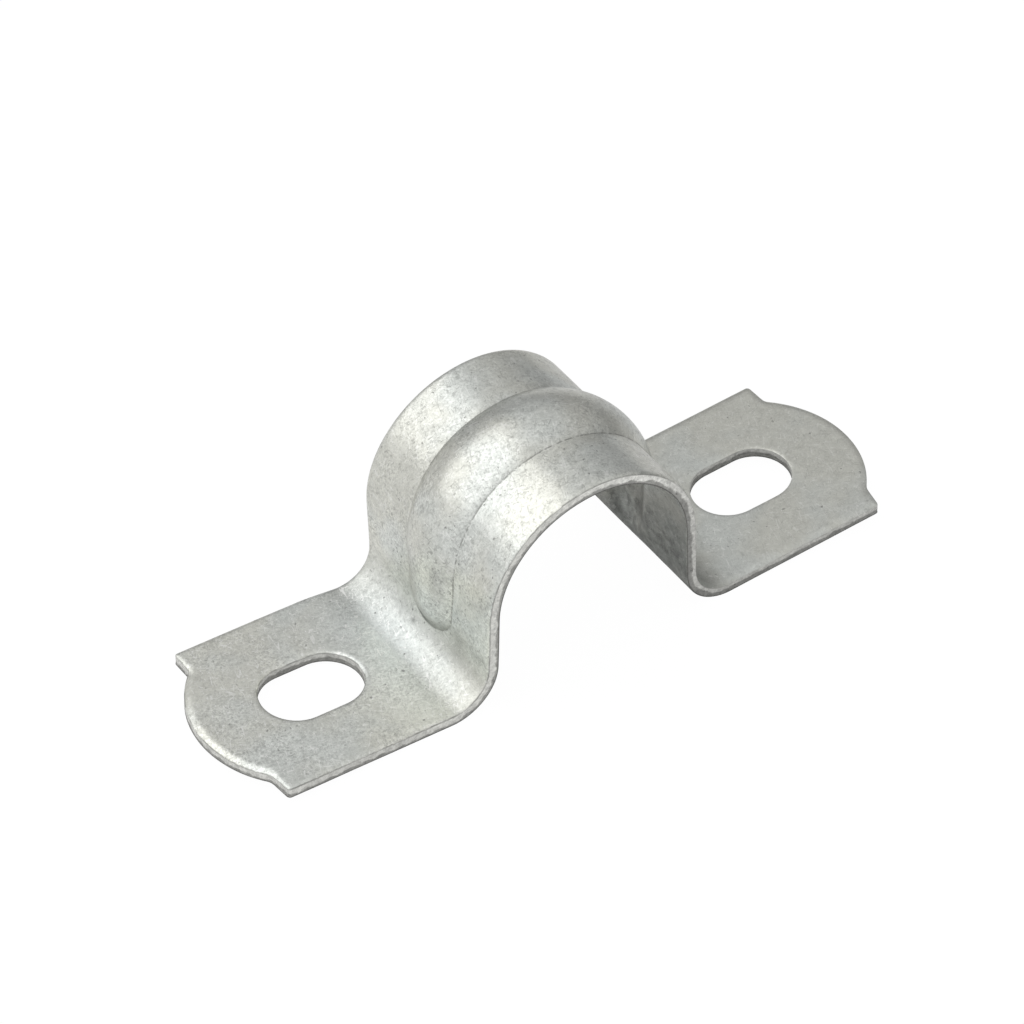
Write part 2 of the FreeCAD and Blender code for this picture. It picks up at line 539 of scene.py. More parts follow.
def buildPressing():
    # height of the pressed sheet above its flat outer face, at a place on the blank
    inputs = {"Along": 0.0, "Across": 0.0, **beadInputs}
    tree, given, out = newGroup("pressedHeight", "GeometryNodeTree", inputs, ("Height", "Foot Gap", "Mark"))
    do = nodeMath(tree)
    along, across = given["Along"], given["Across"]
    far = do("ABSOLUTE", along)
    taper = ramp(tree, far, given["Arch End"], given["End At"])

    def tapered(start, end):
        return do("MULTIPLY_ADD", do("SUBTRACT", end, start), taper, start)

    halfWidth = tapered(given["Half Width"], given["End Half Width"])
    height = tapered(given["Rise"], given["End Rise"])
    leftward = do("MULTIPLY", along, -1.0)
    drift = do("MULTIPLY", ramp(tree, leftward, given["Drift From"], given["End At"]), given["Drift"])
    past = do("MAXIMUM", do("SUBTRACT", far, given["End At"]), 0.0)
    aside = do("SUBTRACT", across, drift)
    away = do("SQRT", do("ADD", do("MULTIPLY", past, past), do("MULTIPLY", aside, aside)))
    # a dome arc and a foot arc that share a tangent
    turn = do("MULTIPLY", do("ARCTAN2", height, halfWidth), 2.0)
    sine = do("SINE", turn)
    dome = do("SUBTRACT", do("DIVIDE", halfWidth, sine), given["Foot Radius"])
    knee = do("MULTIPLY", dome, sine)

    def arcDrop(radius, reach):
        inner = do("SUBTRACT", do("MULTIPLY", radius, radius), do("MULTIPLY", reach, reach))
        return do("SUBTRACT", radius, do("SQRT", do("MAXIMUM", inner, 0.0)))

    onDome = do("SUBTRACT", height, arcDrop(dome, away))
    onFoot = arcDrop(given["Foot Radius"], do("SUBTRACT", halfWidth, away))
    pastKnee = do("GREATER_THAN", away, knee)
    pastFoot = do("GREATER_THAN", away, halfWidth)
    shape = do("MULTIPLY_ADD", do("SUBTRACT", onFoot, onDome), pastKnee, onDome)
    shape = do("MULTIPLY", shape, do("SUBTRACT", 1.0, pastFoot))
    # die mark along the foot
    footGap = do("SUBTRACT", away, knee)
    mark = ramp(tree, do("ABSOLUTE", footGap), 0.0, given["Crease Half Width"])
    mark = do("MULTIPLY", do("SUBTRACT", 1.0, mark), given["Crease"])
    # waviness of the sheet
    waves = addNode(tree, "ShaderNodeTexNoise", {
        "Vector": joined(tree, along, across), "Scale": given["Wave Scale"], "Detail": 2.0, "Roughness": 0.45})
    swell = do("SUBTRACT", waves.outputs[0], 0.5)
    swell = do("MULTIPLY", swell, do("MULTIPLY", given["Wave"], 2.0))
    tree.links.new(do("ADD", shape, swell), out["Height"])
    tree.links.new(footGap, out["Foot Gap"])
    tree.links.new(mark, out["Mark"])
    return tree


def buildBending(pressing, skin, wall):
    # presses the bead into the blank, then bends it into arch, legs and ears
    tree, given, out = newGroup("pressAndBend", "GeometryNodeTree",
                                {"Blank": "NodeSocketGeometry", **foldInputs, **beadInputs},
                                ("Strap",), "NodeSocketGeometry")
    tree.is_modifier = True
    do = nodeMath(tree)
    along, across, level = parted(tree, addNode(tree, "GeometryNodeInputPosition").outputs[0])

    def pressed(alongAt, acrossAt):
        sizes = {name: given[name] for name in beadInputs}
        return addNode(tree, "GeometryNodeGroup", {"Along": alongAt, "Across": acrossAt, **sizes},
                       node_tree=pressing).outputs

    # the sheet keeps its thickness square to the pressed face
    step = 0.03
    here = pressed(along, across)
    slopes = []
    for moved in ((do("ADD", along, step), across), (along, do("ADD", across, step))):
        slopes.append(do("DIVIDE", do("SUBTRACT", here["Height"], pressed(*moved)["Height"]), step))
    normal = joined(tree, *slopes, 1.0)
    normal = addNode(tree, "ShaderNodeVectorMath", {0: normal}, operation="NORMALIZE").outputs[0]
    depth = do("SUBTRACT", given["Sheet"], level)
    halfSheet = do("MULTIPLY", given["Sheet"], 0.5)
    shift = parted(tree, scaled(tree, normal, do("MULTIPLY", depth, -1.0)))
    along = do("ADD", along, shift["X"])
    across = do("ADD", across, shift["Y"])
    level = do("ADD", given["Sheet"], here["Height"], shift["Z"])
    # only the outer face carries the die mark
    level = do("SUBTRACT", level, do("MULTIPLY", here["Mark"], do("LESS_THAN", depth, halfSheet)))

    # how far along the arch, the leg, the bend and the ear this point lies
    far = do("ABSOLUTE", along)
    archRadius = do("ADD", given["Saddle Radius"], halfSheet)
    archLength = do("MULTIPLY", archRadius, given["Arch Turn"])
    archAngle = do("DIVIDE", do("MINIMUM", far, archLength), archRadius)
    pastArch = do("MAXIMUM", do("SUBTRACT", far, archLength), 0.0)
    onLeg = do("MINIMUM", pastArch, given["Leg Length"])
    pastLeg = do("MAXIMUM", do("SUBTRACT", pastArch, given["Leg Length"]), 0.0)
    foldRadius = do("ADD", given["Bend Radius"], halfSheet)
    foldLength = do("MULTIPLY", foldRadius, given["Bend Turn"])
    foldAngle = do("DIVIDE", do("MINIMUM", pastLeg, foldLength), foldRadius)
    onEar = do("MAXIMUM", do("SUBTRACT", pastLeg, foldLength), 0.0)
    outer = do("SUBTRACT", do("ADD", given["Bend Radius"], given["Sheet"]), level)
    reach = do("ADD", given["Saddle Radius"], level)
    left = do("SUBTRACT", given["Arch Turn"], foldAngle)
    outward = do(
        "ADD",
        do("MULTIPLY", reach, do("SINE", archAngle)),
        do("MULTIPLY", onLeg, do("COSINE", given["Arch Turn"])),
        do("MULTIPLY", outer, do("SUBTRACT", do("SINE", given["Arch Turn"]), do("SINE", left))),
        do("MULTIPLY", onEar, do("COSINE", given["Ear Rise"])),
    )
    upward = do(
        "ADD",
        given["Arch Height"],
        do("MULTIPLY", reach, do("COSINE", archAngle)),
        do("MULTIPLY", onLeg, do("MULTIPLY", do("SINE", given["Arch Turn"]), -1.0)),
        do("MULTIPLY", outer, do("SUBTRACT", do("COSINE", given["Arch Turn"]), do("COSINE", left))),
        do("MULTIPLY", onEar, do("SINE", given["Ear Rise"])),
    )
    limit = given["Side Limit"]
    across = do("MAXIMUM", do("MINIMUM", across, limit), do("MULTIPLY", limit, -1.0))
    place = joined(tree, do("MULTIPLY", outward, do("SIGN", along)), across, do("MAXIMUM", upward, 0.0))
    stored = addNode(tree, "GeometryNodeStoreNamedAttribute", {
        "Geometry": given["Blank"], "Name": "footGap", "Value": here["Foot Gap"]}, data_type="FLOAT")
    bent = addNode(tree, "GeometryNodeSetPosition", {
        "Geometry": stored.outputs[0], "Position": scaled(tree, place, mm)})
    real = addNode(tree, "GeometryNodeRealizeInstances", {"Geometry": bent.outputs[0]})
    coated = addNode(tree, "GeometryNodeSetMaterial", {"Geometry": real.outputs[0], "Material": skin})
    onWall = addNode(tree, "GeometryNodeInputNamedAttribute", {"Name": "cutWall"}, data_type="BOOLEAN")
    finished = addNode(tree, "GeometryNodeSetMaterial", {
        "Geometry": coated.outputs[0], "Selection": onWall.outputs[0], "Material": wall})
    tree.links.new(finished.outputs[0], out["Strap"])
    return tree


def paintOver(tree, share, under, over):
    node = addNode(tree, "ShaderNodeMix", data_type="RGBA")
    firstColour = 6
    for socket, value in ((0, share), (firstColour, under), (firstColour + 1, over)):
        plug(tree, node.inputs[socket], (*value, 1) if isinstance(value, tuple) else value)
    return node.outputs[2]


def noiseOf(tree, vector, scale, detail=2.0, roughness=0.5, distortion=0.0):
    return addNode(tree, "ShaderNodeTexNoise", {"Vector": vector, "Scale": scale, "Detail": detail,
                                                "Roughness": roughness, "Distortion": distortion}).outputs[0]


# patterns that both finishes use; levels are of noise from 0 to 1
grain = SimpleNamespace(
    fineScale=4.5, cloudScale=0.9, tintScale=0.16,
    flakeScale=0.8,          # crystal flakes beside the fine grain
    flakeShare=0.18,
    speckScale=0.5,          # beside the fine grain too
    speckLevels=(0.53, 0.66),
    crowdScale=0.35,
    crowdLevels=(0.36, 0.62),
    crowd=(0.35, 1.0),
    tintLevels=(0.42, 0.66),
)


def mottleGroup():
    # grain of the zinc: a fine tone, dark specks, a coarse tone and a slow drift of tint
    tree, given, out = newGroup("zincMottle", "ShaderNodeTree", {
        "Vector": "NodeSocketVector", "Fine Scale": grain.fineScale, "Cloud Scale": grain.cloudScale,
        "Tint Scale": grain.tintScale}, ("Fine", "Speck", "Cloud", "Tint"))
    do = nodeMath(tree)
    place = given["Vector"]
    fine = noiseOf(tree, place, given["Fine Scale"], 2.0, 0.6)
    flake = addNode(tree, "ShaderNodeTexVoronoi", {
        "Vector": place, "Scale": do("MULTIPLY", given["Fine Scale"], grain.flakeScale)})
    flakeTone = addNode(tree, "ShaderNodeSeparateColor", {0: flake.outputs["Color"]}).outputs[0]
    tree.links.new(do("MULTIPLY_ADD", do("SUBTRACT", flakeTone, fine), grain.flakeShare, fine), out["Fine"])
    clotted = noiseOf(tree, place, do("MULTIPLY", given["Fine Scale"], grain.speckScale), 3.0, 0.7, 0.6)
    crowd = ramp(tree, noiseOf(tree, place, grain.crowdScale), *grain.crowdLevels, *grain.crowd)
    tree.links.new(do("MULTIPLY", ramp(tree, clotted, *grain.speckLevels), crowd), out["Speck"])
    tree.links.new(noiseOf(tree, place, given["Cloud Scale"], 4.0, 0.6, 0.4), out["Cloud"])
    drift = noiseOf(tree, place, given["Tint Scale"], 1.5)
    tree.links.new(ramp(tree, drift, *grain.tintLevels), out["Tint"])
    return tree


pitting = SimpleNamespace(
    scale=1.7, size=0.2, share=0.4,
    wanderScale=3.5,
    wander=0.45,             # how far a pit's outline wanders
    sizeFrom=0.4,            # smallest pit beside the given size
    softness=0.35,
    crowdScale=0.22,
    crowdLevels=(0.35, 0.65),
    crowd=(0.2, 1.0),
)


def pitGroup():
    # small dark pits, thick in some places and rare in others
    tree, given, out = newGroup("pitSpecks", "ShaderNodeTree", {
        "Vector": "NodeSocketVector", "Scale": pitting.scale, "Size": pitting.size,
        "Share": pitting.share}, ("Mask",))
    do = nodeMath(tree)
    place = given["Vector"]
    wander = addNode(tree, "ShaderNodeTexNoise", {
        "Vector": place, "Scale": pitting.wanderScale, "Detail": 2.0})
    bent = vectorMath(tree, "ADD", scaled(tree, wander.outputs["Color"], pitting.wander), place)
    cells = addNode(tree, "ShaderNodeTexVoronoi", {"Vector": bent, "Scale": given["Scale"]}).outputs
    chance = addNode(tree, "ShaderNodeSeparateColor", {0: cells["Color"]}).outputs
    size = do("MULTIPLY", given["Size"], do("ADD", chance[1], pitting.sizeFrom))
    spot = ramp(tree, cells["Distance"], size, do("MULTIPLY", size, pitting.softness))
    crowd = ramp(tree, noiseOf(tree, place, pitting.crowdScale), *pitting.crowdLevels, *pitting.crowd)
    there = do("LESS_THAN", chance[0], do("MULTIPLY", crowd, given["Share"]))
    tree.links.new(do("MULTIPLY", spot, there), out["Mask"])
    return tree


hairs = SimpleNamespace(
    scale=1.0, stretch=0.25, fineness=0.09,
    squeeze=1.3,             # across the scratches
    lines=44.0,              # how many contour lines the noise gives
    keptScale=1.1,           # of the breaks beside the scratches' own scale
    levels={"Light": (0.47, 0.56), "Dark": (0.5, 0.41)},
)


def scratchGroup():
    # hairline scratches: contour lines of stretched noise, broken into short lengths
    tree, given, out = newGroup("hairScratches", "ShaderNodeTree", {
        "Vector": "NodeSocketVector", "Turn": 0.0, "Scale": hairs.scale, "Stretch": hairs.stretch,
        "Fineness": hairs.fineness}, ("Light", "Dark"))
    do = nodeMath(tree)
    turned = addNode(tree, "ShaderNodeVectorRotate", {"Vector": given["Vector"], "Angle": given["Turn"]},
                     rotation_type="Z_AXIS").outputs[0]
    stretched = vectorMath(tree, "MULTIPLY", turned, joined(tree, given["Stretch"], hairs.squeeze, 1.0))
    field = noiseOf(tree, stretched, given["Scale"], 1.5, 0.45, 0.5)
    wave = do("SINE", do("MULTIPLY", field, hairs.lines))
    start = do("SUBTRACT", 1.0, given["Fineness"])
    kept = noiseOf(tree, given["Vector"], do("MULTIPLY", given["Scale"], hairs.keptScale))
    for name, crest in (("Light", wave), ("Dark", do("MULTIPLY", wave, -1.0))):
        there = ramp(tree, kept, *hairs.levels[name])
        tree.links.new(do("MULTIPLY", ramp(tree, crest, start, 1.0), there), out[name])
    return tree


def patchGroup():
    # one soft-edged oval on the blank
    vector = "NodeSocketVector"
    tree, given, out = newGroup("softPatch", "ShaderNodeTree", {
        "Vector": vector, "Middle": vector, "Reach": vector}, ("Mask",))
    away = vectorMath(tree, "SUBTRACT", given["Vector"], given["Middle"])
    away = vectorMath(tree, "DIVIDE", away, given["Reach"])
    length = addNode(tree, "ShaderNodeVectorMath", {0: away}, operation="LENGTH").outputs["Value"]
    tree.links.new(ramp(tree, length, 1.0, 0.0), out["Mask"])
    return tree


groups = {"mottle": mottleGroup(), "pits": pitGroup(), "scratches": scratchGroup(), "patch": patchGroup()}


def useGroup(tree, name, **values):
    values = {label.replace("_", " "): value for label, value in values.items()}
    return addNode(tree, "ShaderNodeGroup", values, node_tree=groups[name]).outputs


def patchMask(tree, flat, place):
    middle, reach = place
    return useGroup(tree, "patch", Vector=flat, Middle=(*middle, 0), Reach=(*reach, 1))["Mask"]


def attributeOf(tree, name):
    return addNode(tree, "ShaderNodeAttribute", attribute_name=name).outputs["Fac"]


def newPaint(name):
    material = bpy.data.materials.new(name)
    material.use_nodes = True
    tree = material.node_tree
    shader = tree.nodes["Principled BSDF"]
    shader.inputs["Metallic"].default_value = 1
    solid = scaled(tree, addNode(tree, "ShaderNodeTexCoord").outputs["Object"], 1 / mm)
    return material, tree, shader, solid


def finishPaint(tree, shader, colour, roughness, height, relief):
    tree.links.new(colour, shader.inputs["Base Color"])
    tree.links.new(roughness, shader.inputs["Roughness"])
    bump = addNode(tree, "ShaderNodeBump", {"Strength": 1.0, "Distance": relief * mm, "Height": height})
    tree.links.new(bump.outputs[0], shader.inputs["Normal"])


# finish of the zinc; places and reaches are in millimetres on the flat blank
zinc = SimpleNamespace(
    warm=(0.597, 0.6, 0.551),
    cool=(0.582, 0.613, 0.6),
    coolPatch=((-27, 2), (9, 14)),
    tint=0.6,                # how far the slow drift of tint goes towards cool
    rightward=(-14.0, 30.0),  # between these places the left's value gives way to the right's
    # pairs give the value at the left and at the right of the strap
    # painted light and shade: the left of the strap is lighter and the right darker, as the light falls from
    # the left
    tone=(1.07, 0.915),
    grain=(1.0, 0.35),
    specks=(0.26, 0.104),
    scratchesRight=(1.0, 0.4),
    rimDarkRight=(1.0, 0.15),
    # pairs give the value on the legs and arch, and on the ears
    earSpecks=(1.0, 0.4),
    lightScratches=(0.45, 0.7),
    darkScratches=(0.27, 0.15),
    # where the ears are folded out the grain is calmer and the coat duller
    foldReach=(5.0, 1.0),
    foldGrain=(1.0, 0.55),
    foldRoughness=0.1,
    cloud=0.28,
    unevenScale=0.3,         # grain is stronger in some places than in others
    unevenLevels=(0.35, 0.65),
    uneven=(0.55, 1.35),
    dustyPatch=((-17, -4.5), (8, 6)),
    dust=(1.0, 2.3),         # how much thicker the specks lie there
    paintedLightPatches=(                # painted highlights and painted shade: place, reach and how much lighter or darker
        ((-19.5, 6.5), (7, 5), 0.16), ((-29, -7), (4, 6), 0.12), ((25.5, 0), (4.5, 26), -0.3),
        ((-5, -7.5), (4, 5), 0.12), ((8, 0), (3.5, 14), -0.2), ((-26.5, 8), (4, 7), -0.2),
        ((-20, -4.5), (5, 8), -0.12), ((-8.5, 3), (7, 8), -0.1), ((4, 0), (5, 12), -0.06),
        ((-23.4, 0.9), (0.6, 0.45), -0.4), ((-21.5, -5.2), (2.6, 1.6), -0.14), ((-3, 2), (4, 2.6), -0.14),
    ),
    innerShadeAlong=(12.0, 20.0),  # painted shade: the hidden face is darker towards the foot of the legs, under the arch
    innerShade=(0.06, 0.42),
    innerShadeLevels=(0.3, 0.7),
    innerShadeUneven=(1.4, 0.6),
    scratch=(0.88, 0.88, 0.86),
    scratchSets=((0.5, 1.1, 0.3), (1.9, 0.9, 0.2), (2.7, 1.4, 0.5)),  # turn, scale and stretch
    scuffs={"Turn": 0.12, "Scale": 0.9, "Stretch": 0.07},
    scuffPatch=((6.2, -6), (5, 2.6)),
    flecks={"Scale": 1.25, "Size": 0.11, "Share": 0.16},
    pit=(0.1, 0.1, 0.095),
    pitShare=0.6,
    shadeAndGrime=(0.13, 0.13, 0.12),
    creaseShadeWidth=(0.09, 0.02),  # painted shade along the die mark's crease fades between these distances from it
    creaseShadeScale=1.6,
    creaseShadeLevels=(0.4, 0.56),
    creaseShadeBroken=(0.1, 1.0),
    creaseShadeSides=(0.5, -1.5),   # it is thicker along the front of the bead
    mark=(0.25, 0.62),
    rimWidth=(0.12, 0.02),
    rimScale=0.8,
    rimLevels=(0.38, 0.62),
    rim=(0.1, 0.75),
    crescentShadePatch=((-21.9, 0.4), (2.6, 3.2)),  # painted shade: a dark crescent below the rounded end of the bead
    crescentShadeInner=(-1.1, -0.35),
    crescentShadeOuter=(0.25, -0.1),
    crescentShade=0.9,
    roughness=0.31,
    roughSpread=0.14,
    roughPits=0.12,
    pitHeight=0.6,           # depth of the pits and dark scratches beside the grain's own height
    relief=0.01,
)


def buildSkin():
    material, tree, shader, solid = newPaint("galvanisedSkin")
    do = nodeMath(tree)
    middle = blank.mapSpan / 2
    flat = scaled(tree, addNode(tree, "ShaderNodeUVMap", uv_map="blankMap").outputs[0], blank.mapSpan)
    flat = vectorMath(tree, "SUBTRACT", flat, (middle, middle, 0.0))
    along, across, _ = parted(tree, flat)
    far = do("ABSOLUTE", along)
    onRight = ramp(tree, along, *zinc.rightward)
    onEar = ramp(tree, far, legEnd, bendEnd + 1)
    fromFold = do("ABSOLUTE", do("SUBTRACT", far, (legEnd + bendEnd) / 2))
    onFold = ramp(tree, fromFold, *zinc.foldReach)
    hidden = do("GREATER_THAN", attributeOf(tree, "wallDepth"), 0.5)
    mottle = useGroup(tree, "mottle", Vector=solid)
    cloud = do("SUBTRACT", mottle["Cloud"], 0.5)
    pits = useGroup(tree, "pits", Vector=solid)["Mask"]
    scratches = [useGroup(tree, "scratches", Vector=flat, Turn=turn, Scale=scale, Stretch=stretch)
                 for turn, scale, stretch in zinc.scratchSets]
    light = do("MAXIMUM", *(each["Light"] for each in scratches))
    dark = do("MAXIMUM", *(each["Dark"] for each in scratches))

    # tone: grain, clouds, specks, soft patches of painted highlight and painted shade, and painted shade on the
    # hidden face
    calm = between(tree, onFold, zinc.foldGrain)
    uneven = ramp(tree, noiseOf(tree, solid, zinc.unevenScale), *zinc.unevenLevels, *zinc.uneven)
    fine = do("SUBTRACT", mottle["Fine"], 0.5)
    fine = do("MULTIPLY", fine, between(tree, onRight, zinc.grain), calm, uneven)
    tone = do("ADD", fine, 1.0, do("MULTIPLY", cloud, zinc.cloud))
    # painted light and shade: lighter on the left, darker on the right
    tone = do("MULTIPLY", tone, between(tree, onRight, zinc.tone))
    dusty = patchMask(tree, flat, zinc.dustyPatch)
    specks = do("MULTIPLY", mottle["Speck"], between(tree, onRight, zinc.specks),
                between(tree, dusty, zinc.dust), calm, between(tree, onEar, zinc.earSpecks))
    tone = do("MULTIPLY", tone, do("SUBTRACT", 1.0, specks))
    # painted highlights and painted shade, laid as soft patches on the blank
    for *place, lighter in zinc.paintedLightPatches:
        tone = do("MULTIPLY", tone, between(tree, patchMask(tree, flat, place), (1.0, 1.0 + lighter)))
    # painted shade on the hidden face under the arch, darker towards the foot of the legs
    innerShade = do("MULTIPLY", hidden, ramp(tree, far, *zinc.innerShadeAlong, *zinc.innerShade),
                ramp(tree, mottle["Cloud"], *zinc.innerShadeLevels, *zinc.innerShadeUneven))
    tone = do("MULTIPLY", tone, do("SUBTRACT", 1.0, innerShade))

    # colour: tint, scratches and pits
    chill = do("MULTIPLY", mottle["Tint"], zinc.tint)
    chill = do("MAXIMUM", patchMask(tree, flat, zinc.coolPatch), chill)
    colour = scaled(tree, paintOver(tree, chill, zinc.warm, zinc.cool), tone)
    flecks = useGroup(tree, "pits", Vector=flat, **zinc.flecks)["Mask"]
    scuffs = useGroup(tree, "scratches", Vector=flat, **zinc.scuffs)["Light"]
    scuffs = do("MULTIPLY", scuffs, patchMask(tree, flat, zinc.scuffPatch))
    light = do("MAXIMUM", do("MULTIPLY", light, between(tree, onEar, zinc.lightScratches)), flecks, scuffs)
    light = do("MULTIPLY", light, between(tree, onRight, zinc.scratchesRight))
    colour = paintOver(tree, light, colour, zinc.scratch)
    darkShare = do("MULTIPLY", dark, between(tree, onEar, zinc.darkScratches))
    colour = paintOver(tree, darkShare, colour, zinc.pit)
    colour = paintOver(tree, do("MULTIPLY", pits, zinc.pitShare), colour, zinc.pit)

    # painted shade along the die mark's crease and below the end of the bead, and a darker line along the rims
    footGap = attributeOf(tree, "footGap")
    broken = noiseOf(tree, solid, zinc.creaseShadeScale, 4.0, 0.7)
    # painted shade: a broken dark line along the die mark's crease
    mark = do("MULTIPLY", ramp(tree, do("ABSOLUTE", footGap), *zinc.creaseShadeWidth),
              ramp(tree, broken, *zinc.creaseShadeLevels, *zinc.creaseShadeBroken),
              ramp(tree, across, *zinc.creaseShadeSides, *zinc.mark), do("SUBTRACT", 1.0, hidden))
    # darker along the rims, less so on the right
    rim = do("MULTIPLY", ramp(tree, attributeOf(tree, "rimGap"), *zinc.rimWidth),
             ramp(tree, noiseOf(tree, solid, zinc.rimScale, 3.0), *zinc.rimLevels, *zinc.rim),
             between(tree, onRight, zinc.rimDarkRight))
    # painted shade: the dark crescent below the rounded end of the bead
    crescentShade = do("MULTIPLY", patchMask(tree, flat, zinc.crescentShadePatch), zinc.crescentShade,
                ramp(tree, footGap, *zinc.crescentShadeInner), ramp(tree, footGap, *zinc.crescentShadeOuter))
    # one dark colour for the painted shade in the crease and crescent and for the darker rims
    colour = paintOver(tree, do("MAXIMUM", mark, rim, crescentShade), colour, zinc.shadeAndGrime)

    roughness = do("MULTIPLY_ADD", cloud, zinc.roughSpread, zinc.roughness)
    roughness = do("MULTIPLY_ADD", onFold, zinc.foldRoughness, roughness)
    roughness = do("MULTIPLY_ADD", do("ADD", pits, mottle["Speck"]), zinc.roughPits, roughness)
    height = do("SUBTRACT", mottle["Fine"], do("MULTIPLY", do("ADD", pits, dark), zinc.pitHeight))
    finishPaint(tree, shader, colour, roughness, height, zinc.relief)
    return material


# finish of the cut walls
wallFinish = SimpleNamespace(
    burnished=(0.8, 0.8, 0.765),
    torn=(0.44, 0.44, 0.42),
    shadeAndGrime=(0.09, 0.09, 0.085),
    grain={"Fine_Scale": 3.2, "Cloud_Scale": 0.7},
    pits={"Scale": 2.2, "Size": 0.34, "Share": 0.5},
    rightFrom=(5.0, 12.0),   # past these places the walls are more torn, and darker as painted shade
    right=(1.0, 0.75),
    leftEar=(-14.0, -19.0),
    leftEarTone=(1.0, 0.86),
    # painted shade: walls inside the slots are darker
    punched=(1.0, 0.94),
    border=0.62,             # share of the depth where the burnished band ends
    borderWave=1.1,
    borderRise=0.2,          # how much sooner it ends in the slots and on the right
    borderSoft=(-0.08, 0.14),
    mottle=1.1,
    upperArris=0.12,
    upperDark=(0.6, 0.2),    # left and right
    lowerArris=0.82,
    arris=0.8,
    dirt=(0.2, 0.7),         # in the pits of the burnished and of the torn part
    dirtLevels=(0.55, 0.4),
    roughness=(0.5, 0.62),
    height=(0.3, 1.0),
    relief=0.035,
)


def buildWall():
    # sheared edge: a burnished band above, torn metal below, dark along both arrises
    material, tree, shader, solid = newPaint("shearedWall")
    do = nodeMath(tree)
    depth = attributeOf(tree, "wallDepth")
    punched = attributeOf(tree, "punched")
    endways = parted(tree, solid)["X"]
    onRight = ramp(tree, endways, *wallFinish.rightFrom)
    mottle = useGroup(tree, "mottle", Vector=solid, **wallFinish.grain)
    pits = useGroup(tree, "pits", Vector=solid, **wallFinish.pits)["Mask"]
    cloud = do("SUBTRACT", mottle["Cloud"], 0.5)
    border = do("MULTIPLY_ADD", cloud, wallFinish.borderWave, wallFinish.border)
    border = do("SUBTRACT", border, do("MULTIPLY", do("MAXIMUM", punched, onRight), wallFinish.borderRise))
    torn = ramp(tree, depth, *(do("ADD", border, soft) for soft in wallFinish.borderSoft))
    colour = paintOver(tree, torn, wallFinish.burnished, wallFinish.torn)
    tone = do("MULTIPLY_ADD", do("SUBTRACT", mottle["Fine"], 0.5), wallFinish.mottle, 1.0)
    # painted shade: walls in the slots and on the right of the strap are darker
    tone = do("MULTIPLY", tone, between(tree, punched, wallFinish.punched),
              between(tree, onRight, wallFinish.right),
              ramp(tree, endways, *wallFinish.leftEar, *wallFinish.leftEarTone))
    colour = scaled(tree, colour, tone)
    darkest = between(tree, onRight, wallFinish.upperDark)
    arris = do("MAXIMUM", ramp(tree, depth, wallFinish.upperArris, 0.0, 0.0, darkest),
               ramp(tree, depth, wallFinish.lowerArris, 1.0))
    dirt = do("MULTIPLY", pits, between(tree, torn, wallFinish.dirt),
              ramp(tree, mottle["Cloud"], *wallFinish.dirtLevels))
    # darker along both arrises, and grime in the pits
    shadeAndGrime = do("MAXIMUM", do("MULTIPLY", arris, wallFinish.arris), dirt)
    colour = paintOver(tree, shadeAndGrime, colour, wallFinish.shadeAndGrime)
    roughness = between(tree, torn, wallFinish.roughness)
    height = do("MULTIPLY", mottle["Fine"], between(tree, torn, wallFinish.height))
    finishPaint(tree, shader, colour, roughness, height, wallFinish.relief)
    return material


def buildStrap():
    skin, wall = buildSkin(), buildWall()
    print("finish:", skin.name, "and", wall.name)
    blankObject = bpy.data.objects.new("strapBlank", buildBlank())
    bpy.context.scene.collection.objects.link(blankObject)
    tree = buildBending(buildPressing(), skin, wall)
    values = {**foldInputs, **beadInputs}
    modifier = blankObject.modifiers.new("pressAndBend", "NODES")
    modifier.node_group = tree
    for item in tree.interface.items_tree:
        if item.item_type == "SOCKET" and item.in_out == "INPUT" and item.name in values:
            modifier[item.identifier] = values[item.name]
    depsgraph = bpy.context.evaluated_depsgraph_get()
    mesh = bpy.data.meshes.new_from_object(blankObject.evaluated_get(depsgraph), preserve_all_data_layers=True,
                                           depsgraph=depsgraph)
    mesh.name = "strap"
    bpy.data.objects.remove(blankObject)
    mesh.shade_smooth()
    mesh.set_sharp_from_angle(angle=math.radians(40))
    piece = bpy.data.objects.new("strap", mesh)
    bpy.context.scene.collection.objects.link(piece)
    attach(piece, "root")
    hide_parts("conduit_strap")
    print("strap:", len(mesh.polygons), "faces, materials", [m.name for m in mesh.materials])


buildStrap()

# studio: a white table, a dim room and a large softbox over the left shoulder
studio = SimpleNamespace(
    tableHalf=2,
    paper=(0.82, 0.82, 0.82, 1),
    paperRoughness=0.9,
    tableGlow=(0.8, 1.0),    # table's own brightness in reflections, right and left
    tableFade=(0.06, -0.06),  # from right to left
    tableShare=0.1,          # how much of it reflections take from that, the rest being lit paper
    shadow=0.04,             # how much of the object's shadow the camera sees on the table
    backdrop=1.02,           # white that the camera sees behind the object
    room=(0.95, 0.3),        # light of the room at the horizon, left and right
    roomTop=0.84,            # and overhead
    roomSides=(-0.8, 0.45),
    roomRise=(0.0, 0.9),
    softbox={"towards": (-0.5, 0.24, 0.83), "away": 0.34, "size": (0.4, 0.5), "glow": 0.81},
)


def numberMix(tree, share, first, second):
    return addNode(tree, "ShaderNodeMix", {0: share, 2: first, 3: second}, data_type="FLOAT").outputs[0]


